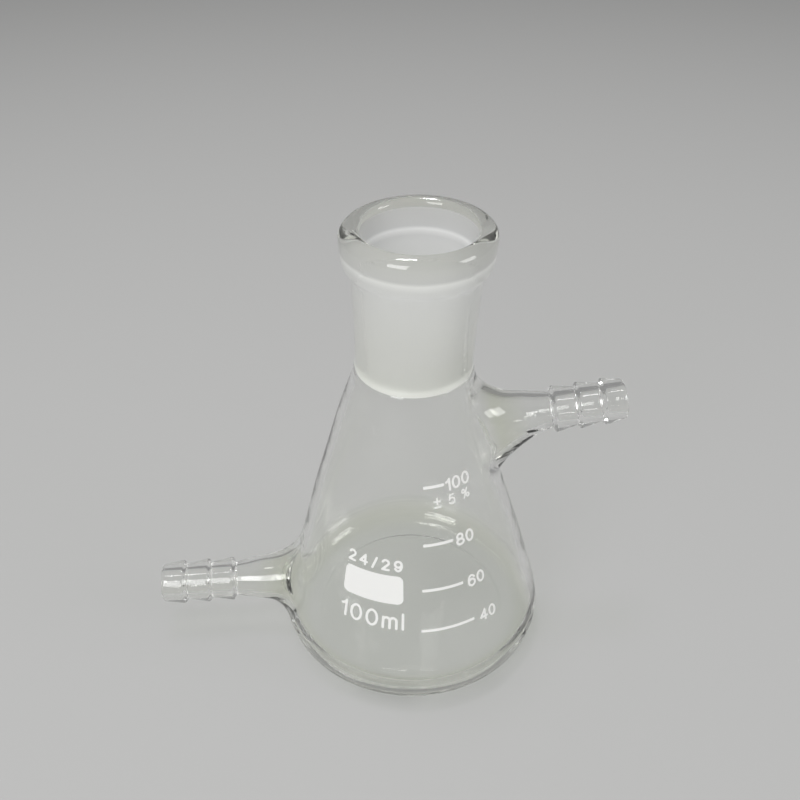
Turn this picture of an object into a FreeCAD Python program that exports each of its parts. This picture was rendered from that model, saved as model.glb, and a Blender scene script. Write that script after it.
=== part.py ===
import FreeCAD, Part
import math
import os

import Sketcher

# Filter flask for 100 ml, a single vessel of blown and fused glass. Millimetres, +Z up.
# The origin is the centre of the circle it stands on. Both hose nozzles lie in the XZ plane.

SIZES = {
    "base_diameter": 66.0,  # widest, just above the heel
    "heel_radius": 6.4,  # where the cone turns into the base
    "stand_width": 2.1,  # flat ring inside the heel, on which the flask stands
    "base_rise": 0.9,  # how far the middle of the base is pushed up
    "rise_width": 9.5,  # slope between that ring and the flat middle
    "floor_thickness": 2.3,
    "wall": 1.7,  # wall of the cone
    "inner_heel": 4.2,  # bevel between floor and wall, measured along either
    "neck_foot_height": 77.0,  # where the cone is fused to the socket
    "neck_foot_diameter": 26.4,
    "socket_rise": 1.3,  # small end of the ground socket above the neck's foot
    "socket_diameter": 24.0,  # its large end
    "socket_taper": 0.1,  # change of diameter for each millimetre of length
    "socket_length": 31.0,
    "mouth_bevel": 1.6,  # from the socket out and up to the top of the fire-polished rim
    "rim_rounding": 2.6,  # from there out and down to the collar's side
    "collar_flank": 2.9,  # straight part of its side
    "shoulder_height": 5.8,  # below that, down to the collar's foot
    "collar_overhang": 2.3,  # how far the collar stands out of the neck
    "low_height": 13.6,  # level nozzle near the base
    "low_reach": 63.7,  # from the flask's axis to the tip
    "low_barb_pitch": 6.2,
    "high_drop": 18.0,  # nozzle near the neck: its axis meets the flask's this far below the neck's foot
    "high_reach": 49.6,
    "high_barb_pitch": 5.75,
    "high_tilt": 7.0,  # degrees above level
    "tip_diameter": 9.6,
    "barb_diameter": 10.9,
    "valley_diameter": 9.0,
    "barb_step": 0.8,  # length of the step behind each barb
    "tip_bevel": 0.7,
    "stem_diameter": 8.3,  # behind the last barb
    "stem_root_diameter": 14.2,  # end of the stem's taper, inside the wall
    "bore_diameter": 6.2,
    "bore_root_diameter": 11.2,  # end of the bore's taper, past the wall
    "flare_radius": 6.5,  # blend of stem and cone
}
BARBS = 3
SMALL = 1e-6

doc = FreeCAD.newDocument("filter_flask")
sheet = doc.addObject("Spreadsheet::Sheet", "dims")
for row, (alias, value) in enumerate(SIZES.items(), start=1):
    sheet.set(f"A{row}", alias.replace("_", " "))
    sheet.set(f"B{row}", str(value))
    sheet.setAlias(f"B{row}", alias)
doc.recompute()

flask = doc.addObject("PartDesign::Body", "flask")
flask.Label = "flask"


class Outline:
    """A closed outline on the XZ plane. Each coordinate is an expression in the sheet's cells."""

    def __init__(self, name, height="0", angle="0"):
        plane = next(item for item in flask.Origin.OriginFeatures if item.Role == "XZ_Plane")
        self.sketch = flask.newObject("Sketcher::SketchObject", name)
        self.sketch.AttachmentSupport = [(plane, "")]
        self.sketch.MapMode = "FlatFace"
        self.sketch.setExpression("AttachmentOffset.Base.y", height)
        self.sketch.setExpression("AttachmentOffset.Rotation.Angle", angle)
        self.ends = []

    def number(self, expression):
        return float(self.sketch.evalExpression(expression))

    def bind(self, geometry, position, direction, expression):
        value = self.number(expression)
        rule = Sketcher.Constraint("Distance" + direction, -1, 1, geometry, position, value)
        index = self.sketch.addConstraint(rule)
        self.sketch.setExpression(f"Constraints[{index}]", expression)

    def add(self, curve, first, last, tangent):
        """Adds a curve that runs on from the one before it."""
        geometry = self.sketch.addGeometry(curve, False)
        if self.ends:
            rule = "Tangent" if tangent else "Coincident"
            self.sketch.addConstraint(Sketcher.Constraint(rule, *self.ends[-1], geometry, first))
        else:
            self.ends.append((geometry, first))
        self.ends.append((geometry, last))
        return geometry

    def start(self, x, y):
        self.origin = (x, y)
        self.here = FreeCAD.Vector(self.number(x), self.number(y), 0)

    def line(self, x, y, tangent=False):
        goal = FreeCAD.Vector(self.number(x), self.number(y), 0)
        geometry = self.add(Part.LineSegment(self.here, goal), 1, 2, tangent)
        self.bind(geometry, 2, "X", x)
        self.bind(geometry, 2, "Y", y)
        self.here = goal

    def bend(self, centre, goal):
        """An arc about centre from here to goal, the shorter way round."""
        angles = [math.atan2(point.y - centre.y, point.x - centre.x) for point in (self.here, goal)]
        ends = (1, 2)
        if (angles[1] - angles[0]) % (2 * math.pi) > math.pi:
            angles.reverse()
            ends = (2, 1)
        circle = Part.Circle(centre, FreeCAD.Vector(0, 0, 1), centre.distanceToPoint(goal))
        self.here = goal
        return self.add(Part.ArcOfCircle(circle, *angles), *ends, False), ends[1]

    def arc(self, x, y, centre_x=None, centre_y=None):
        """An arc to a point, with one coordinate of its centre given."""
        goal = FreeCAD.Vector(self.number(x), self.number(y), 0)
        chord = goal - self.here
        centre = (self.here + goal) / 2
        if centre_x is not None:
            shift = self.number(centre_x) - centre.x
            centre += FreeCAD.Vector(shift, -shift * chord.x / chord.y, 0)
        else:
            shift = self.number(centre_y) - centre.y
            centre += FreeCAD.Vector(-shift * chord.y / chord.x, shift, 0)
        geometry, last = self.bend(centre, goal)
        self.bind(geometry, last, "X", x)
        self.bind(geometry, last, "Y", y)
        if centre_x is not None:
            self.bind(geometry, 3, "X", centre_x)
        else:
            self.bind(geometry, 3, "Y", centre_y)

    def heel(self, centre_x, centre_y, x, y):
        """An arc from straight below its centre, and a line that runs on from it to a point."""
        centre = FreeCAD.Vector(self.number(centre_x), self.number(centre_y), 0)
        radius = centre.distanceToPoint(self.here)
        reach = FreeCAD.Vector(self.number(x), self.number(y), 0) - centre
        angle = math.atan2(reach.y, reach.x) - math.acos(radius / reach.Length)
        leaving = centre + FreeCAD.Vector(math.cos(angle), math.sin(angle), 0) * radius
        geometry, _ = self.bend(centre, leaving)
        self.bind(geometry, 3, "X", centre_x)
        self.bind(geometry, 3, "Y", centre_y)
        self.line(x, y, tangent=True)

    def close(self):
        self.line(*self.origin)
        self.sketch.addConstraint(Sketcher.Constraint("Coincident", *self.ends[-1], *self.ends[0]))
        doc.recompute()
        return self.sketch


def turned(kind, name, sketch, axis):
    """Turns a sketch all the way round one of its own axes, to add or to cut."""
    before = 0 if flask.Shape.isNull() else flask.Shape.Volume
    feature = flask.newObject("PartDesign::" + kind, name)
    feature.Profile = sketch
    feature.ReferenceAxis = (sketch, [axis])
    feature.Angle = 360
    doc.recompute()
    change = flask.Shape.Volume - before
    if (change > 0) != (kind == "Revolution"):
        raise RuntimeError(f"{name} changed the volume by {change:.1f}")


def rounded(name, edges, radius):
    base = flask.Tip
    feature = flask.newObject("PartDesign::Fillet", name)
    feature.Base = (base, edges)
    feature.setExpression("Radius", radius)
    doc.recompute()


def cone_radius(height):
    """Radius of the cone at a height, as an expression."""
    widening = "(dims.base_diameter - dims.neck_foot_diameter) / 2"
    fall = f"(dims.neck_foot_height - {height}) / (dims.neck_foot_height - dims.heel_radius)"
    return f"(dims.neck_foot_diameter / 2 + {widening} * {fall})"


# Outside: pushed-up base, standing ring, heel, cone, neck, collar and rim, filled up to the throat.
heel_centre = "dims.base_diameter / 2 - dims.heel_radius"
socket_foot_height = "(dims.neck_foot_height + dims.socket_rise)"
throat = "dims.socket_diameter / 2"
throat_height = f"({socket_foot_height} + dims.socket_length)"
crest = f"({throat} + dims.mouth_bevel)"
crest_height = f"({throat_height} + dims.mouth_bevel)"
collar_side = f"({crest} + dims.rim_rounding)"
flank_top = f"({crest_height} - dims.rim_rounding)"
flank_foot = f"({flank_top} - dims.collar_flank)"
outside = Outline("outside")
outside.start("0", "dims.base_rise")
outside.line(f"{heel_centre} - dims.stand_width - dims.rise_width", "dims.base_rise")
outside.line(f"{heel_centre} - dims.stand_width", "0")
outside.line(heel_centre, "0")
outside.heel(
    centre_x=heel_centre,
    centre_y="dims.heel_radius",
    x="dims.neck_foot_diameter / 2",
    y="dims.neck_foot_height",
)
outside.line(f"{collar_side} - dims.collar_overhang", f"{flank_foot} - dims.shoulder_height")
outside.arc(collar_side, flank_foot, centre_y=flank_foot)
outside.line(collar_side, flank_top)
outside.arc(crest, crest_height, centre_x=crest)
outside.line(throat, throat_height)
outside.line("0", throat_height)
turned("Revolution", "blown_form", outside.close(), "V_Axis")


class Nozzle:
    """A barbed hose nozzle. Its outlines run along its own axis, which starts on the flask's axis."""

    def __init__(self, name, height, angle):
        self.name = name
        self.height = height
        self.angle = angle
        self.reach = f"dims.{name}_reach"
        self.last_barb = f"({self.reach} - {BARBS} * dims.{name}_barb_pitch)"
        turn = math.radians(self.number(angle))
        self.direction = FreeCAD.Vector(math.cos(turn), 0, math.sin(turn))
        # The stem's taper ends inside the wall, as deep as the stem is thick there.
        self.root = f"({cone_radius(height)} - dims.stem_root_diameter / 2)"

    def number(self, expression):
        return float(sheet.evalExpression(expression.replace("dims.", "")))

    def build_outside(self):
        form = Outline(self.name + "_outside", self.height, self.angle)
        form.start(self.root, "0")
        form.line(self.reach, "0")
        form.line(self.reach, "dims.tip_diameter / 2 - dims.tip_bevel")
        form.line(f"{self.reach} - dims.tip_bevel", "dims.tip_diameter / 2")
        for barb in range(1, BARBS + 1):
            foot = f"{self.reach} - {barb} * dims.{self.name}_barb_pitch"
            behind = "dims.valley_diameter / 2" if barb < BARBS else "dims.stem_diameter / 2"
            form.line(f"{foot} + dims.barb_step", "dims.barb_diameter / 2")
            form.line(foot, behind)
        form.line(self.root, "dims.stem_root_diameter / 2")
        turned("Revolution", self.name + "_nozzle", form.close(), "H_Axis")

    def build_bore(self):
        form = Outline(self.name + "_inside", self.height, self.angle)
        past_tip = f"{self.reach} + dims.bore_diameter / 2"
        form.start(self.root, "0")
        form.line(past_tip, "0")
        form.line(past_tip, "dims.bore_diameter / 2")
        form.line(self.last_barb, "dims.bore_diameter / 2")
        form.line(self.root, "dims.bore_root_diameter / 2")
        turned("Groove", self.name + "_bore", form.close(), "H_Axis")

    def runs_along(self, face):
        axis = getattr(face.Surface, "Axis", None)
        return axis is not None and self.direction.cross(axis).Length < SMALL

    def seam(self):
        """The edges where this nozzle meets a surface that is turned about the flask's axis."""
        names = []
        for index, edge in enumerate(flask.Shape.Edges, start=1):
            faces = flask.Shape.ancestorsOfType(edge, Part.Face)
            on_nozzle = [face for face in faces if self.runs_along(face)]
            if len(on_nozzle) == 1 and edge.CenterOfMass.dot(self.direction) > 0:
                names.append(f"Edge{index}")
        return names


nozzles = (
    Nozzle("low", "dims.low_height", "180"),
    Nozzle("high", "(dims.neck_foot_height - dims.high_drop)", "dims.high_tilt"),
)
for nozzle in nozzles:
    nozzle.build_outside()
for nozzle in nozzles:
    rounded(nozzle.name + "_flare", nozzle.seam(), "dims.flare_radius")

# Inside: floor, bevelled heel, cone, the shoulder below the socket and the socket's ground taper.
floor = "(dims.base_rise + dims.floor_thickness)"
bevel_height = f"({floor} + dims.inner_heel)"
bevel_radius = f"({cone_radius(bevel_height)} - dims.wall)"
inside = Outline("inside")
inside.start("0", floor)
inside.line(f"{bevel_radius} - dims.inner_heel", floor)
inside.line(bevel_radius, bevel_height)
inside.line("dims.neck_foot_diameter / 2 - dims.wall", "dims.neck_foot_height")
inside.line(f"{throat} - dims.socket_taper * dims.socket_length / 2", socket_foot_height)
inside.line(throat, throat_height)
inside.line("0", throat_height)
turned("Groove", "cavity", inside.close(), "V_Axis")

for nozzle in nozzles:
    nozzle.build_bore()

for item in doc.Objects:
    if "Invalid" in item.State or "Error" in item.State:
        raise RuntimeError(f"{item.Name} did not compute: {item.State}")
if flask.Shape.isNull() or not flask.Shape.isValid() or len(flask.Shape.Solids) != 1:
    raise RuntimeError("the flask is not one valid solid")

os.makedirs("parts", exist_ok=True)
flask.Shape.exportStep("parts/flask.step")
box = flask.Shape.optimalBoundingBox()
print(f"glass {flask.Shape.Volume / 1000:.1f} ml, {len(flask.Shape.Faces)} faces")
print(f"size {box.XLength:.1f} x {box.YLength:.1f} x {box.ZLength:.1f} mm, from X {box.XMin:.1f}")
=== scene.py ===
import math

import bmesh
import bpy
from mathutils import Matrix, Vector


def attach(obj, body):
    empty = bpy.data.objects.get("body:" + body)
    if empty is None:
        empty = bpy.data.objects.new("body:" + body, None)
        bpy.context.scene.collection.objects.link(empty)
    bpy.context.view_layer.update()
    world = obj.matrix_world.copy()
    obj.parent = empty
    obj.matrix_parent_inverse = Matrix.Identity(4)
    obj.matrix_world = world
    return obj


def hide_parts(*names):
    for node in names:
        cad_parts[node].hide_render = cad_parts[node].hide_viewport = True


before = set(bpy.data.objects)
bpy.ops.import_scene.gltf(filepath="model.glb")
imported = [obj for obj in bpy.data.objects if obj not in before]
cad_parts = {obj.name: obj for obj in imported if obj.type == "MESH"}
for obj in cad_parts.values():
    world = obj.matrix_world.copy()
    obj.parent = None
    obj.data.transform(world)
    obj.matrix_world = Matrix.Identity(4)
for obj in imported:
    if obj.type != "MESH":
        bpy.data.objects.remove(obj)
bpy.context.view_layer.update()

# A filter flask for 100 ml of clear glass: a cone, a ground socket with a fire-polished collar and two barbed
# nozzles. Lengths are in millimetres until a mesh is made, and are turned into metres there.
mm = 0.001

body = {
    "columns": 80,  # faces around the axis
    "mergeWithin": 0.001,  # points closer than this are one
    "finerLevels": 1,
    "baseDiameter": 66.0,
    "heelRadius": 6.4,
    "baseRise": 0.9,
    "riseRadius": 10.0,  # flat middle of the pushed-up base
    # Radius and height from that middle out to the flat ring on which the flask stands.
    "underside": (
        (14.0, 0.84), (18.0, 0.68), (21.0, 0.5), (23.0, 0.34), (23.6, 0.26), (24.2, 0.08), (24.6, 0.0),
    ),
    "floorTop": 3.2,
    "wall": 1.7,
    "innerHeelRadius": 5.0,
    "neckFootHeight": 77.0,
    "neckFootDiameter": 26.4,
    "beadStart": 0.6,  # the bead where cone and socket are fused starts this far below the neck's foot
    "bead": ((0.2, -0.2), (0.1, 0.5)),  # how far it stands out, at which height from there
    "neckSteps": ((12.85, 78.8), (13.05, 87.0), (13.4, 93.5)),  # radius and height of the neck's outside
    "socketRise": 1.3,
    "socketDiameter": 24.0,
    "socketTaper": 0.1,
    "socketLength": 31.0,
    "mouthBevel": 1.6,
    "rimRounding": 2.6,
    "collarFlank": 3.5,
    "flankTaper": 0.3,  # the collar's side narrows this much downwards
    "shoulderHeight": 3.8,
    "collarOverhang": 2.0,
    "shoulderCrease": (0.02, 0.4),  # a row this far inside and below the shoulder keeps its foot sharp
    "ringDepth": 5.0,  # faint ring inside the socket, below its large end
    "ring": ((0.12, 0.35), (-0.03, 0.0), (0.0, -0.5)),  # step from the taper, at which height from the ring
}
handwork = {  # slight unevenness of glass that is blown and fused by hand
    "wave": 0.05,
    "ripples": ((1.0, 3, 9.0, 0.0), (0.6, 5, -5.0, 1.0)),  # share, waves around, rise for one radian, start
    "waveGrows": (12.0, 27.0),  # heights between which the waves begin
    "waveEnds": (89.0, 104.0),
    "coneDrift": -0.45,  # the axis wanders this far sideways along the cone
    "coneDriftGrows": (22.0, 46.0),
    "coneDriftEnds": (62.0, 78.0),
    "footDrift": 0.2,  # and this far at the neck's foot
    "footDriftGrows": (66.0, 77.0),
    "neckLean": 0.9,  # the neck leans, this far at the rim
    "nozzleFade": 12.0,  # past this distance from the wall a nozzle doesn't wander
}
nozzle = {
    "barbs": 3,
    "tipDiameter": 9.6,
    "barbDiameter": 10.9,
    "valleyDiameter": 9.0,
    "barbStep": 0.8,
    # Way past a barb's start, and how far the outline lies over the stem there, or under the barb's radius.
    "barbFoot": ((-0.25, 0.02), (0.1, 0.03), (0.28, 0.35)),
    "barbCrest": ((0.6, -0.2), (0.8, -0.02), (1.1, -0.02)),
    "slopeStart": 0.7,  # behind the step
    "slopeEnd": 0.4,  # before the next barb
    "slopeRings": 3,
    "stemDiameter": 8.2,
    "stemWidening": 0.315,  # of its radius towards the wall, for a way of 1
    "stemPower": 0.78,
    "boreDiameter": 6.2,
    "boreWidening": 1.25,
    "tipRounding": 0.8,
    "boreRounding": 0.5,
    "boreRings": 6,
    "flareReach": 6.0,  # how far out of the wall the flare reaches
    "wallTension": 0.6,  # how far the flare follows the wall
    "cornerRadius": 6.3,  # stem's radius carried on to the wall
    "boreCornerRadius": 4.9,
    "flareRings": 8,
    "stemRings": 4,
    "stemEnd": 0.3,  # last ring of the stem before the barbs
    "flareLimit": 0.9,  # the flare ends at least this far before them
    "cornerShare": 0.5,  # how much of the wall's own reach is added to the flare's
    "blendEnd": 1.45,  # where the mesh around a nozzle is plain again, in hole radii
}
nozzles = {
    "low": {
        "azimuth": 180.0, "tilt": 0.0, "height": 13.6, "reach": 63.7, "barbPitch": 6.2,
        "halfColumns": 5, "halfRows": 6, "hole": 12.2, "holeDroop": 0.0, "holeRise": 0.0, "boreHole": 10.4,
        "flareTension": 0.6, "reachBelow": 0.0, "reachAbove": 0.0, "cornerBelow": 0.0,
    },
    "high": {
        "azimuth": 0.0, "tilt": 7.0, "height": 59.0, "reach": 49.55, "barbPitch": 5.75,
        "halfColumns": 8, "halfRows": 6, "hole": 11.6, "holeDroop": 2.4, "holeRise": 2.4, "boreHole": 9.8,
        "flareTension": 0.3, "reachBelow": 6.0, "reachAbove": 0.5, "cornerBelow": 3.0,
    },
}


# The outline of the turned wall, as pieces with a length, so that any distance along it gives a point.
class Track:
    def __init__(self, radius, height):
        self.end = Vector((radius, height))
        self.pieces = []
        self.length = 0.0
        self.rows = [0.0]

    def add(self, length, pointAt, steps):
        self.pieces.append((self.length, length, pointAt))
        self.rows += [self.length + length * step / steps for step in range(1, steps + 1)]
        self.length += length
        self.end = pointAt(1.0)

    def line(self, radius, height, steps):
        start, goal = self.end, Vector((radius, height))
        self.add((goal - start).length, lambda share: start.lerp(goal, share), steps)

    # Turns about a centre from the end so far, anticlockwise if the angle is positive.
    def arc(self, radius, height, degrees, steps):
        centre = Vector((radius, height))
        arm = self.end - centre
        start = math.atan2(arm.y, arm.x)
        sweep = math.radians(degrees)

        def pointAt(share):
            angle = start + sweep * share
            return centre + arm.length * Vector((math.cos(angle), math.sin(angle)))

        self.add(abs(sweep) * arm.length, pointAt, steps)

    def at(self, distance):
        for start, length, pointAt in self.pieces:
            if distance <= start + length:
                break
        return pointAt(min(max((distance - start) / length, 0.0), 1.0))

    def lastRow(self):
        return len(self.rows) - 1


def smooth(share):
    share = min(max(share, 0.0), 1.0)
    return share * share * (3 - 2 * share)


# How far a value has come from one limit to another, from 0 to 1 with soft ends.
def grown(value, first, last):
    return smooth((value - first) / (last - first))


def spread(start, goal, steps):
    return [start + (goal - start) * step / steps for step in range(1, steps + 1)]


heelCentre = Vector((body["baseDiameter"] / 2 - body["heelRadius"], body["heelRadius"]))
neckFoot = Vector((body["neckFootDiameter"] / 2, body["neckFootHeight"]))
toFoot = neckFoot - heelCentre
coneLean = math.atan2(toFoot.y, toFoot.x) - math.acos(body["heelRadius"] / toFoot.length)
outerLean = math.tan(coneLean)
innerLean = (body["baseDiameter"] / 2 - neckFoot.x) / (neckFoot.y - body["heelRadius"])
innerFoot = neckFoot.x - body["wall"]
socketFootHeight = neckFoot.y + body["socketRise"]
throat = body["socketDiameter"] / 2
throatHeight = socketFootHeight + body["socketLength"]
crest = throat + body["mouthBevel"]
collarSide = crest + body["rimRounding"]
flankTop = throatHeight + body["mouthBevel"] - body["rimRounding"]
flankFoot = Vector((collarSide - body["flankTaper"], flankTop - body["collarFlank"]))
shoulderFoot = flankFoot - Vector((body["collarOverhang"], body["shoulderHeight"]))
shoulderRadius = (body["shoulderHeight"] ** 2 + body["collarOverhang"] ** 2) / (2 * body["collarOverhang"])
shoulderSweep = math.degrees(math.asin(body["shoulderHeight"] / shoulderRadius))


def coneRadius(height):
    return neckFoot.x + (neckFoot.y - height) * outerLean


# Distance along a nozzle's axis to a cone that has a radius at the neck's foot and widens downwards.
def crossing(shape, footRadius, lean):
    tilt = math.radians(shape["tilt"])
    level = footRadius + (neckFoot.y - shape["height"]) * lean
    return level / (math.cos(tilt) + lean * math.sin(tilt))


def axisPoint(shape, distance):
    tilt = math.radians(shape["tilt"])
    return Vector((distance * math.cos(tilt), shape["height"] + distance * math.sin(tilt)))


# From the middle of the base up the outside, over the rim and down the inside to the middle of the floor.
wall = Track(0.0, body["baseRise"])
wall.line(body["riseRadius"], body["baseRise"], 2)
for radius, height in body["underside"]:
    wall.line(radius, height, 1)
wall.line(heelCentre.x, 0.0, 2)
wall.arc(*heelCentre, 90 + math.degrees(coneLean), 9)
outerRow, innerRow = {}, {}
wall.line(*axisPoint(nozzles["low"], crossing(nozzles["low"], neckFoot.x, outerLean)), 3)
outerRow["low"] = wall.lastRow()
wall.line(*axisPoint(nozzles["high"], crossing(nozzles["high"], neckFoot.x, outerLean)), 25)
outerRow["high"] = wall.lastRow()
wall.line(coneRadius(neckFoot.y - body["beadStart"]), neckFoot.y - body["beadStart"], 8)
for proud, height in body["bead"]:
    wall.line(neckFoot.x + proud, neckFoot.y + height, 1)
for (radius, height), steps in zip(body["neckSteps"], (1, 4, 3)):
    wall.line(radius, height, steps)
wall.line(*(shoulderFoot - Vector(body["shoulderCrease"])), 3)
wall.line(*shoulderFoot, 1)
wall.arc(flankFoot.x - shoulderRadius, flankFoot.y, shoulderSweep, 5)
wall.line(collarSide, flankTop, 2)
wall.arc(crest, flankTop, 90, 6)
wall.arc(crest, throatHeight, 90, 4)
groundTop = wall.lastRow()
ringHeight = throatHeight - body["ringDepth"]
ringRadius = throat - body["socketTaper"] * body["ringDepth"] / 2
for (proud, height), steps in zip(body["ring"], (3, 1, 1)):
    wall.line(ringRadius + proud, ringHeight + height, steps)
wall.line(throat - body["socketTaper"] * body["socketLength"] / 2, socketFootHeight, 12)
wall.line(innerFoot, neckFoot.y, 2)
groundFoot = wall.lastRow()
wall.line(*axisPoint(nozzles["high"], crossing(nozzles["high"], innerFoot, innerLean)), 10)
innerRow["high"] = wall.lastRow()
wall.line(*axisPoint(nozzles["low"], crossing(nozzles["low"], innerFoot, innerLean)), 25)
innerRow["low"] = wall.lastRow()
innerAngle = math.atan(innerLean)
innerHeelHeight = body["floorTop"] + body["innerHeelRadius"]
heelEnd = innerHeelHeight + body["innerHeelRadius"] * math.sin(innerAngle)
heelEndRadius = innerFoot + (neckFoot.y - heelEnd) * innerLean
wall.line(heelEndRadius, heelEnd, 3)
innerHeelCentre = heelEndRadius - body["innerHeelRadius"] * math.cos(innerAngle)
wall.arc(innerHeelCentre, innerHeelHeight, -90 - math.degrees(innerAngle), 7)
wall.line(0.0, body["floorTop"], 6)


def turnedPoint(distance, azimuth):
    radius, height = wall.at(distance)
    return Vector((radius * math.cos(azimuth), radius * math.sin(azimuth), height))


# Where a point of the even shape lies in glass that is worked by hand: slight waves and a wandering axis.
def worked(point):
    outwards = Vector((point.x, point.y, 0))
    if outwards.length < 1:
        return point
    azimuth = math.atan2(point.y, point.x)
    waves = sum(
        share * math.sin(around * azimuth + point.z / rise + start)
        for share, around, rise, start in handwork["ripples"]
    )
    fade = grown(point.z, *handwork["waveGrows"]) - grown(point.z, *handwork["waveEnds"])
    coneShare = grown(point.z, *handwork["coneDriftGrows"]) - grown(point.z, *handwork["coneDriftEnds"])
    footShare = grown(point.z, *handwork["footDriftGrows"])
    leanShare = max(point.z - neckFoot.y, 0) / (throatHeight - neckFoot.y)
    onBody = 1 - smooth((outwards.length - max(coneRadius(point.z), crest)) / handwork["nozzleFade"])
    drift = handwork["coneDrift"] * coneShare + handwork["footDrift"] * footShare
    drift += handwork["neckLean"] * leanShare
    return point + outwards.normalized() * handwork["wave"] * waves * fade + Vector((drift * onBody, 0, 0))


# A round hole in the turned wall, in place of a block of the mesh's columns and rows.
class Hole:
    def __init__(self, shape, row, up, radius):
        self.row = row
        self.up = up  # +1 where the outline runs upwards, -1 where it runs downwards
        self.column = round(shape["azimuth"] / 360 * body["columns"])
        self.shape = shape
        self.radius = radius
        self.azimuth = math.radians(shape["azimuth"])
        self.distance = wall.rows[row]

    # Place in the block, from -1 to 1 across and upwards.
    def place(self, row, column):
        half = body["columns"] // 2
        across = (column - self.column + half) % body["columns"] - half
        return across / self.shape["halfColumns"], self.up * (row - self.row) / self.shape["halfRows"]

    # Direction on the hole's circle, with the block's corners at 45 degrees.
    def angle(self, across, upwards):
        if abs(across) >= abs(upwards):
            return math.radians(45) * upwards / across + (math.pi if across < 0 else 0)
        return math.radians(90) - math.radians(45) * across / upwards + (math.pi if upwards < 0 else 0)

    # Point on the wall by lengths across and up from the middle, measured along the wall.
    def onWall(self, across, upwards):
        distance = self.distance + self.up * upwards
        return turnedPoint(distance, self.azimuth + across / wall.at(distance).x)

    def chart(self, radius, angle):
        return self.onWall(radius * math.cos(angle), radius * math.sin(angle))

    def edge(self, angle):
        below, above = smooth(-math.sin(angle)), smooth(math.sin(angle))
        return self.radius + self.shape["holeDroop"] * below + self.shape["holeRise"] * above

    # A mesh point near the hole, moved so that the block's border is the hole's circle.
    def bend(self, row, column):
        across, upwards = self.place(row, column)
        level = max(abs(across), abs(upwards))
        if level >= nozzle["blendEnd"]:
            return None
        share = 1 - smooth((level - 1) / (nozzle["blendEnd"] - 1))
        angle = self.angle(across, upwards)
        columnWidth = math.tau / body["columns"] * wall.at(wall.rows[row]).x
        plain = Vector((
            across * self.shape["halfColumns"] * columnWidth,
            self.up * (wall.rows[row] - self.distance),
        ))
        circle = self.edge(angle) * level * Vector((math.cos(angle), math.sin(angle)))
        return self.onWall(*plain.lerp(circle, share))


# A nozzle's outside from its first barb to the tip and its bore back again, as (distance, radius).
def barbRings(shape, lastBarb):
    valley, crestRadius = nozzle["valleyDiameter"] / 2, nozzle["barbDiameter"] / 2
    tip, bore = nozzle["tipDiameter"] / 2, nozzle["boreDiameter"] / 2
    step, rounding, boreRounding = nozzle["barbStep"], nozzle["tipRounding"], nozzle["boreRounding"]
    reach = shape["reach"]
    rings = []
    for barb in range(nozzle["barbs"]):
        atTip = barb == nozzle["barbs"] - 1
        foot = lastBarb + barb * shape["barbPitch"]
        low = nozzle["stemDiameter"] / 2 if barb == 0 else valley
        high = tip if atTip else valley
        end = foot + shape["barbPitch"] - (rounding if atTip else 0)
        rings += [(foot + past, low + rise) for past, rise in nozzle["barbFoot"]]
        rings += [(foot + past, crestRadius + rise) for past, rise in nozzle["barbCrest"]]
        slope = (crestRadius - high) / (end - foot - step)
        slopeStart = foot + step + nozzle["slopeStart"]
        for distance in spread(slopeStart, end - nozzle["slopeEnd"], nozzle["slopeRings"]):
            rings.append((distance, crestRadius - slope * (distance - foot - step)))
    for turn in spread(0, 90, 4):
        angle = math.radians(turn)
        before, inwards = rounding * (1 - math.sin(angle)), rounding * (1 - math.cos(angle))
        rings.append((reach - before, tip - inwards))
    for turn in spread(0, 90, 3):
        angle = math.radians(turn)
        before, outwards = boreRounding * (1 - math.cos(angle)), boreRounding * (1 - math.sin(angle))
        rings.append((reach - before, bore + outwards))
    rings += [(distance, bore) for distance in spread(rings[-1][0], lastBarb, nozzle["boreRings"])]
    return rings


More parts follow.
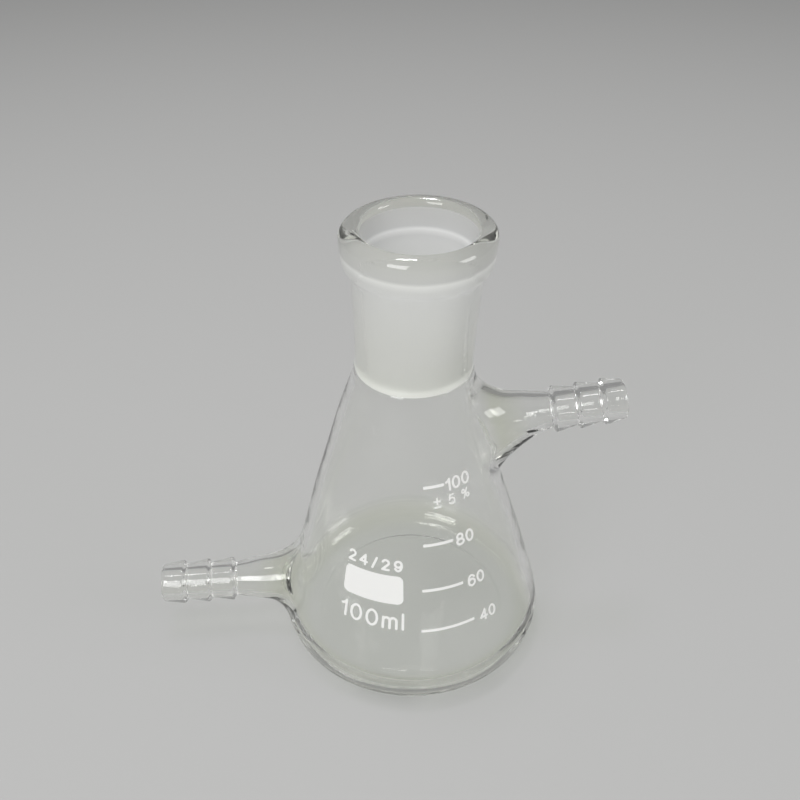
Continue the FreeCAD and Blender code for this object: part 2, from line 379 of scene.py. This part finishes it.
# A nozzle and its two holes, the outer one in the wall's outside and the inner one in its inside.
class Nozzle:
    def __init__(self, name, shape):
        self.shape = shape
        self.outer = Hole(shape, outerRow[name], 1, shape["hole"])
        self.inner = Hole(shape, innerRow[name], -1, shape["boreHole"])
        tilt, azimuth = math.radians(shape["tilt"]), math.radians(shape["azimuth"])
        level = Vector((math.cos(azimuth), math.sin(azimuth), 0))
        self.forward = level * math.cos(tilt) + Vector((0, 0, math.sin(tilt)))
        self.sideways = Vector((-level.y, level.x, 0))
        self.upwards = self.forward.cross(self.sideways)
        self.start = Vector((0, 0, shape["height"]))
        self.wallDistance = crossing(shape, neckFoot.x, outerLean)
        self.lastBarb = shape["reach"] - nozzle["barbs"] * shape["barbPitch"]

    # Point at a distance along the axis and a radius around it.
    def around(self, distance, radius, angle):
        outwards = self.sideways * math.cos(angle) + self.upwards * math.sin(angle)
        return self.start + self.forward * distance + radius * outwards

    def stemRadius(self, distance):
        widening = nozzle["stemWidening"] * (self.lastBarb - distance) ** nozzle["stemPower"]
        return nozzle["stemDiameter"] / 2 + widening

    def boreRadius(self, distance):
        share = grown(distance, self.lastBarb, self.wallDistance + nozzle["flareReach"])
        return nozzle["boreDiameter"] / 2 + share * nozzle["boreWidening"]

    # The corner that the flare rounds, and where it passes into the stem: further along the axis where the
    # wall comes out further.
    def flareEnd(self, hole, corner, angle):
        below, above = smooth(-math.sin(angle)), smooth(math.sin(angle))
        corner += self.shape["cornerBelow"] * below
        cornerDistance = (hole.chart(corner, angle) - self.start).dot(self.forward)
        reach = nozzle["flareReach"] + self.shape["reachBelow"] * below + self.shape["reachAbove"] * above
        end = self.wallDistance + reach + nozzle["cornerShare"] * (cornerDistance - self.wallDistance)
        return corner, cornerDistance, min(end, self.lastBarb - nozzle["flareLimit"])

    # A point on one line of the flare, from the wall to the stem.
    def flarePoint(self, hole, corner, radiusAt, angle, share):
        corner, cornerDistance, end = self.flareEnd(hole, corner, angle)
        tension, rest = self.shape["flareTension"], 1 - share
        border, radius = hole.edge(angle), radiusAt(end)
        first = hole.chart(border + nozzle["wallTension"] * (corner - border), angle)
        handle = end + tension * (cornerDistance - end)
        second = self.around(handle, radius + tension * (corner - radius), angle)
        ends = hole.chart(border, angle) * rest ** 3 + self.around(end, radius, angle) * share ** 3
        return ends + first * 3 * rest ** 2 * share + second * 3 * rest * share ** 2

    # A point between the flare's end and the first barb, at a share of that way.
    def stemPoint(self, hole, corner, radiusAt, angle, share):
        *_, end = self.flareEnd(hole, corner, angle)
        distance = end + share * (self.lastBarb - nozzle["stemEnd"] - end)
        return self.around(distance, radiusAt(distance), angle)

    # The rings from the outer hole to the tip and back to the inner hole, each as a function of the angle.
    def rings(self):
        outside = (self.outer, nozzle["cornerRadius"], self.stemRadius)
        inside = (self.inner, nozzle["boreCornerRadius"], self.boreRadius)
        flareShares = spread(0, 1, nozzle["flareRings"])
        stemShares = spread(0, 1, nozzle["stemRings"])[:-1]
        for share in flareShares:
            yield lambda angle: self.flarePoint(*outside, angle, share)
        for share in stemShares:
            yield lambda angle: self.stemPoint(*outside, angle, share)
        for distance, radius in barbRings(self.shape, self.lastBarb):
            yield lambda angle: self.around(distance, radius, angle)
        for share in reversed(stemShares):
            yield lambda angle: self.stemPoint(*inside, angle, share)
        for share in reversed([0] + flareShares):
            yield lambda angle: self.flarePoint(*inside, angle, share)


# Place of an edge or face in the mesh's order, by the numbers of its first vertices.
def orderOf(piece):
    place = 0
    for index in sorted(vertex.index for vertex in piece.verts)[:3]:
        place = place * 100000 + index  # the mesh has fewer vertices than this
    return place


def buildGlass():
    mesh = bmesh.new()
    columns, lastRow = body["columns"], wall.lastRow()
    mergeWithin = body["mergeWithin"] * mm
    holeOf = mesh.verts.layers.int.new("hole")
    angleOf = mesh.verts.layers.float.new("angle")
    branches = [Nozzle(name, shape) for name, shape in nozzles.items()]
    holes = [hole for branch in branches for hole in (branch.outer, branch.inner)]

    # A flat grid of rows and columns is wrapped into the turned wall.
    bmesh.ops.create_grid(mesh, x_segments=lastRow, y_segments=columns, size=0.5)
    for quad in mesh.faces:
        row = (quad.calc_center_median().x + 0.5) * lastRow
        quad.material_index = 1 if groundTop < row < groundFoot else 0
    inHoles = []
    for vertex in mesh.verts:
        row = round((vertex.co.x + 0.5) * lastRow)
        column = round((vertex.co.y + 0.5) * columns)
        point = turnedPoint(wall.rows[row], math.tau * column / columns)
        for index, hole in enumerate(holes, start=1):
            across, upwards = hole.place(row, column)
            level = max(abs(across), abs(upwards))
            if level < 0.99:
                inHoles.append(vertex)
                break
            if level < 1.01:
                vertex[holeOf] = index
                vertex[angleOf] = hole.angle(across, upwards)
            point = hole.bend(row, column) or point
        vertex.co = worked(point) * mm
    bmesh.ops.delete(mesh, geom=inHoles, context="VERTS")
    bmesh.ops.remove_doubles(mesh, verts=mesh.verts, dist=mergeWithin)

    # The nozzles grow ring by ring out of the outer holes and end on the edges of the inner ones.
    for branch in branches:
        number = holes.index(branch.outer) + 1
        ring = [
            edge for edge in mesh.edges
            if edge.is_boundary and all(vertex[holeOf] == number for vertex in edge.verts)
        ]
        for pointAt in branch.rings():
            added = bmesh.ops.extrude_edge_only(mesh, edges=ring)["geom"]
            for vertex in added:
                if isinstance(vertex, bmesh.types.BMVert):
                    vertex.co = worked(pointAt(vertex[angleOf])) * mm
            ring = [edge for edge in added if isinstance(edge, bmesh.types.BMEdge) and edge.is_boundary]
    bmesh.ops.remove_doubles(mesh, verts=mesh.verts, dist=mergeWithin)

    bmesh.ops.recalc_face_normals(mesh, faces=mesh.faces)
    # Extruding leaves edges and faces in an order that changes from run to run.
    mesh.verts.index_update()
    mesh.edges.sort(key=orderOf)
    mesh.faces.sort(key=orderOf)
    for polygon in mesh.faces:
        polygon.smooth = True
    print("open edges of the glass", sum(not edge.is_manifold for edge in mesh.edges))
    data = bpy.data.meshes.new("flaskGlass")
    mesh.to_mesh(data)
    mesh.free()
    glass = bpy.data.objects.new("flaskGlass", data)
    bpy.context.scene.collection.objects.link(glass)
    finer = glass.modifiers.new("finer", "SUBSURF")
    finer.levels = body["finerLevels"]
    finer.render_levels = body["finerLevels"]
    return glass


glassLook = {
    "index": 1.47,
    "thin": (0.99, 0.993, 0.985, 1),
    "thick": (0.925, 0.94, 0.85, 1),  # heel, rim and flares look faintly yellow-green
    "heel": (12.0, 4.0),  # heights between which the tint grows
    "heelRing": (26.5, 31.0),  # and the same in distance from the axis
    "rim": (100.0, 114.0),
    "flareTint": ((0.0, 0.0), (0.15, 0.6), (0.7, 0.0)),  # tint by how far a nozzle is out of the wall
    "flareReach": 14.0,
    "striaeSize": 0.009,
    "striaeDepth": 0.00004,
    "straight": (0.99, 0.993, 0.985, 1),  # light that passes through to the floor, and at the glass's edges
    "edge": (0.86, 0.875, 0.85, 1),
    "edgeBlend": 0.25,
}
groundLook = {
    "transmission": 0.3,
    "grain": {"size": 0.00035, "smoothest": 0.42, "roughest": 0.6, "depth": 0.00002},
    "straight": (0.9, 0.91, 0.9, 1),
    "edge": (0.75, 0.76, 0.75, 1),
    # Colour from the foot of the ground zone (0) to its top (1); the ring is the bright stop, a painted
    # highlight of its rounded edge, and the pale stop at the foot is a painted highlight with a little
    # painted shade just above it.
    "tonesAndPaintedHighlights": (
        (0.0, (0.86, 0.865, 0.82, 1)),
        (0.03, (0.78, 0.79, 0.74, 1)),
        (0.25, (0.80, 0.80, 0.79, 1)),
        (0.80, (0.80, 0.80, 0.80, 1)),
        (0.842, (1.0, 1.0, 1.0, 1)),
        (0.865, (0.70, 0.70, 0.70, 1)),
        (1.0, (0.68, 0.68, 0.67, 1)),
    ),
}


grainLook = {
    "detail": 2.0,
    "darkest": 0.3,  # part of the noise's range that is spread over the limits
    "lightest": 0.7,
}


# Fine grain of a surface as a value between two limits and as a height, for the ground glass and the print.
def buildGrain():
    group = bpy.data.node_groups.new("surfaceGrain", "ShaderNodeTree")
    for name in ("Grain Size", "Low", "High"):
        group.interface.new_socket(name=name, in_out="INPUT", socket_type="NodeSocketFloat")
    for name in ("Value", "Height"):
        group.interface.new_socket(name=name, in_out="OUTPUT", socket_type="NodeSocketFloat")
    nodes, links = group.nodes, group.links
    given = nodes.new("NodeGroupInput")
    result = nodes.new("NodeGroupOutput")
    place = nodes.new("ShaderNodeTexCoord")
    scale = nodes.new("ShaderNodeMath")
    scale.operation = "DIVIDE"
    scale.inputs[0].default_value = 1.0
    links.new(given.outputs["Grain Size"], scale.inputs[1])
    noise = nodes.new("ShaderNodeTexNoise")
    noise.inputs["Detail"].default_value = grainLook["detail"]
    links.new(place.outputs["Object"], noise.inputs["Vector"])
    links.new(scale.outputs["Value"], noise.inputs["Scale"])
    limits = nodes.new("ShaderNodeMapRange")
    links.new(noise.outputs["Fac"], limits.inputs["Value"])
    limits.inputs["From Min"].default_value = grainLook["darkest"]
    limits.inputs["From Max"].default_value = grainLook["lightest"]
    links.new(given.outputs["Low"], limits.inputs["To Min"])
    links.new(given.outputs["High"], limits.inputs["To Max"])
    links.new(limits.outputs["Result"], result.inputs["Value"])
    links.new(noise.outputs["Fac"], result.inputs["Height"])
    return group


def principled(name, **values):
    material = bpy.data.materials.new(name)
    material.use_nodes = True
    shader = material.node_tree.nodes["Principled BSDF"]
    for socket, value in values.items():
        shader.inputs[socket.replace("_", " ")].default_value = value
    return material


def bumpFrom(material, height, depth):
    nodes, links = material.node_tree.nodes, material.node_tree.links
    bump = nodes.new("ShaderNodeBump")
    bump.inputs["Distance"].default_value = depth
    links.new(height, bump.inputs["Height"])
    links.new(bump.outputs["Normal"], nodes["Principled BSDF"].inputs["Normal"])


def addGrain(material, size, smoothest, roughest, depth):
    grainNode = material.node_tree.nodes.new("ShaderNodeGroup")
    grainNode.node_tree = grain
    for socket, value in (("Grain Size", size), ("Low", smoothest), ("High", roughest)):
        grainNode.inputs[socket].default_value = value
    shader = material.node_tree.nodes["Principled BSDF"]
    material.node_tree.links.new(grainNode.outputs["Value"], shader.inputs["Roughness"])
    bumpFrom(material, grainNode.outputs["Height"], depth)


# Lets lamps and the floor's own light pass straight through, less at the edges, so shadows stay light.
def letLightThrough(material, straight, edge):
    nodes, links = material.node_tree.nodes, material.node_tree.links
    path = nodes.new("ShaderNodeLightPath")
    either = nodes.new("ShaderNodeMath")
    either.operation = "MAXIMUM"
    links.new(path.outputs["Is Shadow Ray"], either.inputs[0])
    links.new(path.outputs["Is Diffuse Ray"], either.inputs[1])
    facing = nodes.new("ShaderNodeLayerWeight")
    facing.inputs["Blend"].default_value = glassLook["edgeBlend"]
    shade = nodes.new("ShaderNodeMix")
    shade.data_type = "RGBA"
    shade.inputs["A"].default_value = straight
    shade.inputs["B"].default_value = edge
    links.new(facing.outputs["Facing"], shade.inputs["Factor"])
    clear = nodes.new("ShaderNodeBsdfTransparent")
    links.new(shade.outputs["Result"], clear.inputs["Color"])
    mix = nodes.new("ShaderNodeMixShader")
    links.new(either.outputs["Value"], mix.inputs["Fac"])
    links.new(nodes["Principled BSDF"].outputs["BSDF"], mix.inputs[1])
    links.new(clear.outputs["BSDF"], mix.inputs[2])
    links.new(mix.outputs["Shader"], nodes["Material Output"].inputs["Surface"])


def mapped(nodes, links, value, first, last):
    ramp = nodes.new("ShaderNodeMapRange")
    ramp.inputs["From Min"].default_value = first
    ramp.inputs["From Max"].default_value = last
    links.new(value, ramp.inputs["Value"])
    return ramp.outputs["Result"]


# A colour by a value from 0 to 1, from stops of a position and a colour.
def ramped(nodes, links, value, stops):
    ramp = nodes.new("ShaderNodeValToRGB")
    links.new(value, ramp.inputs["Fac"])
    elements = ramp.color_ramp.elements
    for index, (position, colour) in enumerate(stops):
        stop = elements[index] if index < 2 else elements.new(position)
        stop.position = position
        stop.color = colour
    return ramp.outputs["Color"]


def combined(nodes, links, operation, first, second):
    result = nodes.new("ShaderNodeMath")
    result.operation = operation
    for index, value in enumerate((first, second)):
        if isinstance(value, float):
            result.inputs[index].default_value = value
        else:
            links.new(value, result.inputs[index])
    return result.outputs["Value"]


# How thick the glass is, from 0 at the thin wall to 1 at the heel, the rim and the foot of each nozzle.
def thickness(nodes, links, place):
    split = nodes.new("ShaderNodeSeparateXYZ")
    links.new(place, split.inputs["Vector"])
    height = split.outputs["Z"]
    low = mapped(nodes, links, height, *(limit * mm for limit in glassLook["heel"]))
    rim = mapped(nodes, links, height, *(limit * mm for limit in glassLook["rim"]))
    across = combined(nodes, links, "MULTIPLY", split.outputs["X"], split.outputs["X"])
    inwards = combined(nodes, links, "MULTIPLY", split.outputs["Y"], split.outputs["Y"])
    radius = combined(nodes, links, "SQRT", combined(nodes, links, "ADD", across, inwards), 0.0)
    heelRing = mapped(nodes, links, radius, *(limit * mm for limit in glassLook["heelRing"]))
    heel = combined(nodes, links, "MULTIPLY", low, heelRing)
    fromCone = combined(nodes, links, "ADD", radius, combined(nodes, links, "MULTIPLY", height, outerLean))
    flareEnd = coneRadius(0) + glassLook["flareReach"]
    outside = mapped(nodes, links, fromCone, coneRadius(0) * mm, flareEnd * mm)
    stops = [(position, (share, share, share, 1)) for position, share in glassLook["flareTint"]]
    thickest = combined(nodes, links, "MAXIMUM", heel, rim)
    return combined(nodes, links, "MAXIMUM", thickest, ramped(nodes, links, outside, stops))


def makeClearGlass():
    material = principled("clearGlass", Roughness=0.0, IOR=glassLook["index"], Transmission_Weight=1.0)
    nodes, links = material.node_tree.nodes, material.node_tree.links
    place = nodes.new("ShaderNodeTexCoord").outputs["Object"]
    striae = nodes.new("ShaderNodeTexNoise")
    striae.inputs["Scale"].default_value = 1 / glassLook["striaeSize"]
    striae.inputs["Detail"].default_value = 1.0
    links.new(place, striae.inputs["Vector"])
    bumpFrom(material, striae.outputs["Fac"], glassLook["striaeDepth"])
    tint = nodes.new("ShaderNodeMix")
    tint.data_type = "RGBA"
    tint.inputs["A"].default_value = glassLook["thin"]
    tint.inputs["B"].default_value = glassLook["thick"]
    links.new(thickness(nodes, links, place), tint.inputs["Factor"])
    links.new(tint.outputs["Result"], nodes["Principled BSDF"].inputs["Base Color"])
    letLightThrough(material, glassLook["straight"], glassLook["edge"])
    return material


def makeGroundGlass():
    transmission = groundLook["transmission"]
    material = principled("groundGlass", IOR=glassLook["index"], Transmission_Weight=transmission)
    nodes, links = material.node_tree.nodes, material.node_tree.links
    place = nodes.new("ShaderNodeTexCoord")
    split = nodes.new("ShaderNodeSeparateXYZ")
    links.new(place.outputs["Object"], split.inputs["Vector"])
    upSocket = mapped(nodes, links, split.outputs["Z"], neckFoot.y * mm, throatHeight * mm)
    # Base colour up the socket, with the painted highlights at the ring and at the foot of the ground zone.
    tonesAndPaintedHighlights = ramped(nodes, links, upSocket, groundLook["tonesAndPaintedHighlights"])
    links.new(tonesAndPaintedHighlights, nodes["Principled BSDF"].inputs["Base Color"])
    addGrain(material, **groundLook["grain"])
    letLightThrough(material, groundLook["straight"], groundLook["edge"])
    return material


grain = buildGrain()
glass = buildGlass()
glass.data.materials.append(makeClearGlass())
glass.data.materials.append(makeGroundGlass())
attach(glass, "root")
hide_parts("flask")
print("glass", len(glass.data.polygons), "faces")

# White enamel fired on the outside of the cone.
enamel = {
    "thickness": 0.05,
    "lift": 0.02,
    "strokeStep": 0.004,  # each stroke of a sign lies this much above the one before
    "line": 0.7,
    "widening": 1.12,  # of all signs
    "strip": 0.6,  # width of the strips that flat outlines are cut into to follow the cone
    "mergeWithin": 0.00001,
    "touching": 0.0001,  # a stroke whose ends are this close is a loop
    "colour": (0.93, 0.93, 0.91, 1),
    "grain": {"size": 0.0004, "smoothest": 0.35, "roughest": 0.55, "depth": 0.00001},
}
white = principled("whiteEnamel", Base_Color=enamel["colour"])
addGrain(white, **enamel["grain"])


# Point on the cone near an azimuth counted from the front, by lengths across and up its slope.
def onCone(azimuth, height, across, upwards, lift):
    z = height + upwards * math.cos(coneLean)
    radius = coneRadius(z)
    angle = math.radians(azimuth) + across / coneRadius(height)
    point = Vector((radius * math.sin(angle), -radius * math.cos(angle), z))
    outward = Vector((math.sin(angle), -math.cos(angle), outerLean)).normalized()
    return worked(point) + outward * lift


# Makes a flat outline in millimetres into enamel on the cone.
def printed(name, outline, azimuth, height):
    spans = [vertex.co.x for vertex in outline.verts]
    first, last = min(spans), max(spans)
    cuts = int((last - first) / enamel["strip"])
    for cut in range(1, cuts + 1):
        bmesh.ops.bisect_plane(
            outline,
            geom=outline.verts[:] + outline.edges[:] + outline.faces[:],
            plane_co=(first + cut * (last - first) / (cuts + 1), 0, 0),
            plane_no=(1, 0, 0),
        )
    bmesh.ops.remove_doubles(outline, verts=outline.verts, dist=enamel["mergeWithin"])
    for vertex in outline.verts:
        across, upwards, lift = vertex.co
        vertex.co = onCone(azimuth, height, across, upwards, enamel["lift"] + lift) * mm
    data = bpy.data.meshes.new(name)
    outline.to_mesh(data)
    outline.free()
    piece = bpy.data.objects.new(name, data)
    bpy.context.scene.collection.objects.link(piece)
    thicker = piece.modifiers.new("thicker", "SOLIDIFY")
    thicker.thickness = enamel["thickness"] * mm
    thicker.offset = 1.0
    data.materials.append(white)
    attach(piece, "root")


# Points of an elliptical arc between two angles.
def bow(x, y, wide, tall, first, last):
    steps = max(round(abs(last - first) / 15), 2)
    angles = [math.radians(first + (last - first) * step / steps) for step in range(steps + 1)]
    return [(x + wide * math.cos(angle), y + tall * math.sin(angle)) for angle in angles]


# Signs as their width and strokes, for a height of 1; a stroke that ends where it starts is a loop.
sixBowl = bow(0.28, 0.31, 0.27, 0.31, 0, 360)
sixBack = bow(0.30, 0.46, 0.29, 0.54, 38, 180) + [(0.01, 0.36)]
signs = {
    "0": (0.56, [bow(0.28, 0.5, 0.28, 0.5, 0, 360)]),
    "1": (0.26, [[(0.0, 0.74), (0.13, 0.8), (0.24, 0.97)], [(0.26, 1.0), (0.26, 0.0)]]),
    "2": (0.54, [bow(0.27, 0.73, 0.26, 0.27, 165, -35) + [(0.0, 0.0)], [(0.0, 0.0), (0.54, 0.0)]]),
    "4": (0.6, [[(0.44, 0.0), (0.44, 1.0)], [(0.44, 1.0), (0.0, 0.3)], [(0.0, 0.3), (0.6, 0.3)]]),
    "5": (0.54, [
        [(0.5, 1.0), (0.1, 1.0)], [(0.1, 1.0), (0.05, 0.52)], bow(0.26, 0.33, 0.28, 0.33, 140, -150),
    ]),
    "6": (0.56, [sixBowl, sixBack]),
    "8": (0.56, [bow(0.28, 0.75, 0.23, 0.25, 0, 360), bow(0.28, 0.26, 0.28, 0.26, 0, 360)]),
    "9": (0.56, [[(0.56 - x, 1 - y) for x, y in path] for path in (sixBowl, sixBack)]),
    "/": (0.34, [[(0.0, -0.04), (0.34, 1.04)]]),
    "±": (0.56, [[(0.28, 0.34), (0.28, 0.96)], [(0.0, 0.65), (0.56, 0.65)], [(0.0, 0.0), (0.56, 0.0)]]),
    "%": (0.74, [
        bow(0.14, 0.78, 0.14, 0.19, 0, 360), bow(0.6, 0.22, 0.14, 0.19, 0, 360), [(0.16, 0.0), (0.58, 1.0)],
    ]),
    "m": (0.7, [
        [(0.0, 0.0), (0.0, 0.7)],
        [(0.0, 0.42)] + bow(0.175, 0.5, 0.175, 0.2, 165, 0) + [(0.35, 0.0)],
        [(0.35, 0.42)] + bow(0.525, 0.5, 0.175, 0.2, 165, 0) + [(0.7, 0.0)],
    ]),
    "l": (0.0, [[(0.0, 0.0), (0.0, 1.0)]]),
    " ": (0.1, []),
}


# A stroke of even width with round ends, as flat faces.
def drawStroke(flat, path, line, lift):
    loop = (path[0] - path[-1]).length < enamel["touching"]
    path = path[:-1] if loop else path
    sides = []
    for index, point in enumerate(path):
        before = path[index - 1] if loop or index else point
        after = path[(index + 1) % len(path)] if loop or index < len(path) - 1 else point
        along = (after - before).normalized()
        across = Vector((-along.y, along.x)) * line / 2
        sides.append([flat.verts.new((*side, lift)) for side in (point + across, point - across)])
    for (left, right), (nextLeft, nextRight) in zip(sides, sides[1:] + sides[:loop]):
        flat.faces.new((left, right, nextRight, nextLeft))
    if loop:
        return
    for end, (first, last) in ((path[0], sides[0]), (path[-1], reversed(sides[-1]))):
        arm = first.co.xy - end
        turns = [Matrix.Rotation(math.radians(turn), 2) @ arm for turn in (45, 90, 135)]
        flat.faces.new([first] + [flat.verts.new((*(end + turn), lift)) for turn in turns] + [last])


def lettering(name, words, tall, line, gap, azimuth, height):
    size = tall - line
    wide = size * enamel["widening"]
    step = gap * size + line
    x = -(sum(signs[sign][0] * wide for sign in words) + step * (len(words) - 1)) / 2
    flat = bmesh.new()
    strokes = 0
    for sign in words:
        width, paths = signs[sign]
        for path in paths:
            points = [Vector((x + across * wide, (up - 0.5) * size)) for across, up in path]
            drawStroke(flat, points, line, strokes * enamel["strokeStep"])
            strokes += 1
        x += width * wide + step
    printed(name, flat, azimuth, height)


# A bar or patch of enamel with rounded corners.
def bar(name, width, tall, azimuth, height, rounding):
    flat = bmesh.new()
    corners = []
    for quarter in range(4):
        side = (1 if quarter in (0, 3) else -1, 1 if quarter < 2 else -1)
        centre = Vector((side[0] * (width / 2 - rounding), side[1] * (tall / 2 - rounding), 0))
        for turn in range(0, 91, 15):
            angle = math.radians(90 * quarter + turn)
            arm = rounding * Vector((math.cos(angle), math.sin(angle), 0))
            corners.append(flat.verts.new(centre + arm))
    flat.faces.new(corners)
    printed(name, flat, azimuth, height)


# Azimuths of each mark's line and number, and the mark's height.
scaleMarks = {
    "100": {"line": (3.1, 17.6), "digits": (19.0, 37.2), "height": 57.7},
    "80": {"line": (2.0, 19.7), "digits": (20.9, 34.0), "height": 44.0},
    "60": {"line": (0.3, 22.2), "digits": (24.0, 36.0), "height": 32.85},
    "40": {"line": (-0.8, 25.5), "digits": (27.9, 38.9), "height": 22.6},
}
volumeSigns = {"tall": 3.2, "line": 0.54, "gap": 0.12}
volumeDrop = 0.35  # how far a number's middle lies below its line
legends = {
    "tolerance": {"words": "± 5 %", "tall": 2.6, "line": 0.4, "gap": 0.24, "azimuth": 22.6, "height": 53.8},
    "socketSize": {"words": "24/29", "tall": 3.0, "line": 0.56, "gap": 0.34, "azimuth": -25, "height": 39.0},
    "capacity": {"words": "100ml", "tall": 4.6, "line": 0.62, "gap": 0.22, "azimuth": -25, "height": 25.0},
}
patch = {"width": 14.4, "tall": 7.4, "azimuth": -25.2, "height": 32.9, "rounding": 1.4}

for volume, mark in scaleMarks.items():
    first, last = mark["line"]
    width = math.radians(last - first) * coneRadius(mark["height"])
    bar("mark" + volume, width, enamel["line"], (first + last) / 2, mark["height"], enamel["line"] / 4)
    middle = sum(mark["digits"]) / 2
    lettering("volume" + volume, volume, azimuth=middle, height=mark["height"] - volumeDrop, **volumeSigns)
lettering("tolerance", **legends["tolerance"])
lettering("socketSize", **legends["socketSize"])
bar("patch", **patch)
lettering("capacity", **legends["capacity"])
print("print pieces done")

# Floor, light and camera.
studio = {
    "floorColour": (0.48, 0.48, 0.475, 1),
    "floorRoughness": 0.9,
    "floorSize": 3.0,  # from its middle to an edge
    "worldColour": (0.9, 0.9, 0.9, 1),
    "worldStrength": 0.32,
    "backdropStrength": 0.3,
    "lampsAim": (0, 0, 0.05),
    "bounces": 32,  # light in thick glass is turned back and forth many times before it leaves
    "glossyBounces": 24,
}
floorMesh = bmesh.new()
bmesh.ops.create_grid(floorMesh, x_segments=1, y_segments=1, size=studio["floorSize"])
floorData = bpy.data.meshes.new("floor")
floorMesh.to_mesh(floorData)
floorMesh.free()
floor = bpy.data.objects.new("floor", floorData)
bpy.context.scene.collection.objects.link(floor)
floorPaint = principled("floorPaint", Base_Color=studio["floorColour"], Roughness=studio["floorRoughness"])
floorData.materials.append(floorPaint)

# Places and sizes in metres, powers in watts.
lamps = {
    "softboxAbove": {"place": (-0.1, 0.15, 1.0), "size": (0.22, 0.12), "power": 4.0},
    "softboxFront": {"place": (-0.55, -0.75, 0.6), "size": (0.5, 0.5), "power": 6.0},
    "softboxSide": {"place": (0.9, -0.35, 0.5), "size": (0.4, 0.4), "power": 3.0},
}
for name, lamp in lamps.items():
    place = Vector(lamp["place"])
    light = bpy.data.lights.new(name, "AREA")
    light.shape = "RECTANGLE"
    light.size, light.size_y = lamp["size"]
    light.energy = lamp["power"]
    lampObject = bpy.data.objects.new(name, light)
    lampObject.location = place
    lampObject.rotation_euler = (Vector(studio["lampsAim"]) - place).to_track_quat("-Z", "Y").to_euler()
    bpy.context.scene.collection.objects.link(lampObject)

# The camera, glass and gloss see the backdrop, and everything else is lit by the world.
world = bpy.data.worlds.new("studio")
world.use_nodes = True
nodes, links = world.node_tree.nodes, world.node_tree.links
background = nodes["Background"]
background.inputs["Color"].default_value = studio["worldColour"]
path = nodes.new("ShaderNodeLightPath")
seen = path.outputs["Is Camera Ray"]
for ray in ("Is Transmission Ray", "Is Glossy Ray"):
    either = nodes.new("ShaderNodeMath")
    either.operation = "MAXIMUM"
    links.new(seen, either.inputs[0])
    links.new(path.outputs[ray], either.inputs[1])
    seen = either.outputs["Value"]
strength = nodes.new("ShaderNodeMapRange")
strength.inputs["To Min"].default_value = studio["worldStrength"]
strength.inputs["To Max"].default_value = studio["backdropStrength"]
links.new(seen, strength.inputs["Value"])
links.new(strength.outputs["Result"], background.inputs["Strength"])
bpy.context.scene.world = world
bpy.context.scene.view_settings.view_transform = "Standard"
bpy.context.scene.cycles.max_bounces = studio["bounces"]
bpy.context.scene.cycles.transmission_bounces = studio["bounces"]
bpy.context.scene.cycles.glossy_bounces = studio["glossyBounces"]

# The photograph's camera: its place, and its turn in degrees from a level view along +Y.
view = {
    "place": (-16.7, -164.1, 189.2),
    "yaw": 4.84,
    "pitch": 36.38,
    "roll": -0.13,
    "lens": 40.78,
    "clipStart": 0.01,
}
yaw, pitch, roll = (math.radians(view[name]) for name in ("yaw", "pitch", "roll"))
forward = Vector((math.sin(yaw) * math.cos(pitch), math.cos(yaw) * math.cos(pitch), -math.sin(pitch)))
right = Vector((math.cos(yaw), -math.sin(yaw), 0))
upward = right.cross(forward)
rolledRight = right * math.cos(roll) + upward * math.sin(roll)
rolledUp = upward * math.cos(roll) - right * math.sin(roll)
camera = bpy.data.objects.new("camera", bpy.data.cameras.new("camera"))
camera.data.lens = view["lens"]
camera.data.clip_start = view["clipStart"]
turn = Matrix((rolledRight, rolledUp, -forward)).transposed().to_4x4()
camera.matrix_world = Matrix.Translation(Vector(view["place"]) * mm) @ turn
bpy.context.scene.collection.objects.link(camera)
bpy.context.scene.camera = camera
